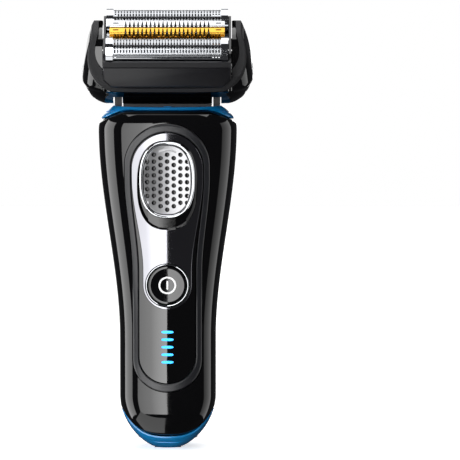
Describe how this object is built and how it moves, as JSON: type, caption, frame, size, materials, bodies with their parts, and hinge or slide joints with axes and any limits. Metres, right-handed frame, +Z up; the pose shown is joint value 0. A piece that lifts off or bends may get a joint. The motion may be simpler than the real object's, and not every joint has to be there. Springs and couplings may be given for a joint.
{
  "type": "electric foil shaver",
  "caption": "Cordless foil shaver: rounded tapering handle with a front panel, power button and head-lock slide, a tilting head and a lift-out shaving cassette.",
  "frame": {"origin": "middle of the base, below the middle of the outline", "axes": "+X to the shaver's left side as it faces the user's view from the front, +Y to the rear, +Z up along the handle"},
  "size_m": [0.0646, 0.0422, 0.1661],
  "materials": {
    "piano_black": "high gloss piano black",
    "satin_black": "satin black",
    "rubber_black": "soft-touch black",
    "blue": "satin blue",
    "satin_grey": "satin dark grey",
    "white_plastic": "natural",
    "dark_mirror": "dark mirror chrome",
    "chrome": "bright chrome",
    "nickel": "satin nickel",
    "steel": "bright steel",
    "gold": "gold-coloured titanium nitride coating",
    "copper": "enamelled copper wire",
    "cell_wrap": "shrink wrap",
    "board": "green solder mask",
    "silicone": "clear silicone",
    "light": "lit light guide"
  },
  "bodies": {
    "handle": {"front_shell": "piano_black", "rear_shell": "satin_black", "neck_collar": "blue", "base_cap": "blue", "base_screw_left": "steel", "base_screw_right": "steel", "charging_socket": "satin_black", "charge_pin_left": "nickel", "charge_pin_right": "nickel", "rear_contact_left": "nickel", "rear_contact_right": "nickel", "rear_grip": "rubber_black", "panel_surround": "satin_grey", "display_panel": "piano_black", "keyhole_plate": "dark_mirror", "lock_track": "piano_black", "light_guide": "light", "power_button_ring": "chrome", "power_button_dome": "silicone", "power_switch": "steel", "chassis": "satin_grey", "circuit_board": "board", "battery_cell": "cell_wrap", "battery_tab_top": "nickel", "battery_tab_bottom": "nickel", "pivot_pin_left": "steel", "pivot_pin_right": "steel"},
    "power_button": {"power_button": "piano_black"},
    "lock_slide": {"lock_plate": "nickel", "lock_rim": "chrome", "lock_carrier": "satin_black", "lock_bolt": "steel"},
    "trimmer_carriage": {"trimmer_slide": "satin_black", "trimmer_comb": "steel"},
    "trimmer_cutter": {"trimmer_blade": "steel"},
    "head": {"head_frame": "piano_black", "head_belt": "satin_grey", "head_deck": "satin_black", "motor_tray": "satin_grey", "motor_coil": "copper", "release_spring_left": "steel", "release_spring_right": "steel"},
    "release_left": {"release_button_left": "piano_black"},
    "release_right": {"release_button_right": "piano_black"},
    "front_drive": {"front_drive_bridge": "white_plastic", "front_cutter_spring": "steel"},
    "rear_drive": {"rear_drive_bridge": "white_plastic", "rear_cutter_spring": "steel"},
    "cassette": {"cassette_frame": "satin_black"},
    "front_foil_float": {"front_foil": "steel", "front_foil_frame": "chrome"},
    "rear_foil_float": {"rear_foil": "steel", "rear_foil_frame": "chrome"},
    "front_cutter": {"front_cutter_block": "steel"},
    "rear_cutter": {"rear_cutter_block": "steel"},
    "gold_float": {"gold_trimmer_guard": "gold"},
    "gold_cutter": {"gold_trimmer_blade": "steel"},
    "silver_float": {"silver_trimmer_guard": "chrome"},
    "silver_cutter": {"silver_trimmer_blade": "steel"}
  },
  "joints": [
    {"name": "head_tilt", "type": "hinge", "parent": "handle", "child": "head", "pos_m": [0, 0, 0.1428], "axis": [1, 0, 0], "range_deg": [-20, 20], "stiffness_Nm_per_rad": 0.25},
    {"name": "power_button_press", "type": "slide", "parent": "handle", "child": "power_button", "axis": [0, 1, 0], "range_m": [0, 0.0008], "stiffness_N_per_m": 900, "deforming": ["power_button_dome"]},
    {"name": "lock_slide_travel", "type": "slide", "parent": "handle", "child": "lock_slide", "axis": [0, 0, -1], "range_m": [0, 0.004]},
    {"name": "trimmer_rise", "type": "slide", "parent": "handle", "child": "trimmer_carriage", "axis": [0, 0, 1], "range_m": [0, 0.012]},
    {"name": "release_left_press", "type": "slide", "parent": "head", "child": "release_left", "axis": [1, 0, 0], "range_m": [0, 0.0015], "stiffness_N_per_m": 800, "deforming": ["release_spring_left"]},
    {"name": "release_right_press", "type": "slide", "parent": "head", "child": "release_right", "axis": [-1, 0, 0], "range_m": [0, 0.0015], "stiffness_N_per_m": 800, "deforming": ["release_spring_right"]},
    {"name": "cassette_lift", "type": "slide", "parent": "head", "child": "cassette", "axis": [0, -0.5299, 0.848], "range_m": [0, 0.025]},
    {"name": "front_foil_float_travel", "type": "slide", "parent": "cassette", "child": "front_foil_float", "axis": [0, 0.5299, -0.848], "range_m": [0, 0.0015], "stiffness_N_per_m": 500, "deforming": ["front_cutter_spring"]},
    {"name": "rear_foil_float_travel", "type": "slide", "parent": "cassette", "child": "rear_foil_float", "axis": [0, 0.5299, -0.848], "range_m": [0, 0.0015], "stiffness_N_per_m": 500, "deforming": ["rear_cutter_spring"]},
    {"name": "gold_trimmer_float_travel", "type": "slide", "parent": "cassette", "child": "gold_float", "axis": [0, 0.5299, -0.848], "range_m": [0, 0.001], "stiffness_N_per_m": 400},
    {"name": "silver_trimmer_float_travel", "type": "slide", "parent": "cassette", "child": "silver_float", "axis": [0, 0.5299, -0.848], "range_m": [0, 0.001], "stiffness_N_per_m": 400},
    {"name": "front_drive_swing", "type": "slide", "parent": "head", "child": "front_drive", "axis": [1, 0, 0], "range_m": [-0.0012, 0.0012], "stiffness_N_per_m": 900},
    {"name": "rear_drive_swing", "type": "slide", "parent": "head", "child": "rear_drive", "axis": [1, 0, 0], "range_m": [-0.0012, 0.0012], "stiffness_N_per_m": 900},
    {"name": "front_cutter_swing", "type": "slide", "parent": "front_foil_float", "child": "front_cutter", "axis": [1, 0, 0], "range_m": [-0.0012, 0.0012]},
    {"name": "rear_cutter_swing", "type": "slide", "parent": "rear_foil_float", "child": "rear_cutter", "axis": [1, 0, 0], "range_m": [-0.0012, 0.0012]},
    {"name": "gold_blade_swing", "type": "slide", "parent": "gold_float", "child": "gold_cutter", "axis": [1, 0, 0], "range_m": [-0.0012, 0.0012]},
    {"name": "silver_blade_swing", "type": "slide", "parent": "silver_float", "child": "silver_cutter", "axis": [1, 0, 0], "range_m": [-0.0012, 0.0012]},
    {"name": "trimmer_blade_swing", "type": "slide", "parent": "trimmer_carriage", "child": "trimmer_cutter", "axis": [1, 0, 0], "range_m": [-0.0006, 0.0006]}
  ],
  "couplings": [
    {"joint": "rear_drive_swing", "follows": "front_drive_swing", "ratio": -1},
    {"joint": "front_cutter_swing", "follows": "front_drive_swing", "ratio": 1},
    {"joint": "rear_cutter_swing", "follows": "front_drive_swing", "ratio": -1},
    {"joint": "gold_blade_swing", "follows": "front_drive_swing", "ratio": 1},
    {"joint": "silver_blade_swing", "follows": "front_drive_swing", "ratio": -1},
    {"joint": "trimmer_blade_swing", "follows": "front_drive_swing", "ratio": 0.5}
  ]
}
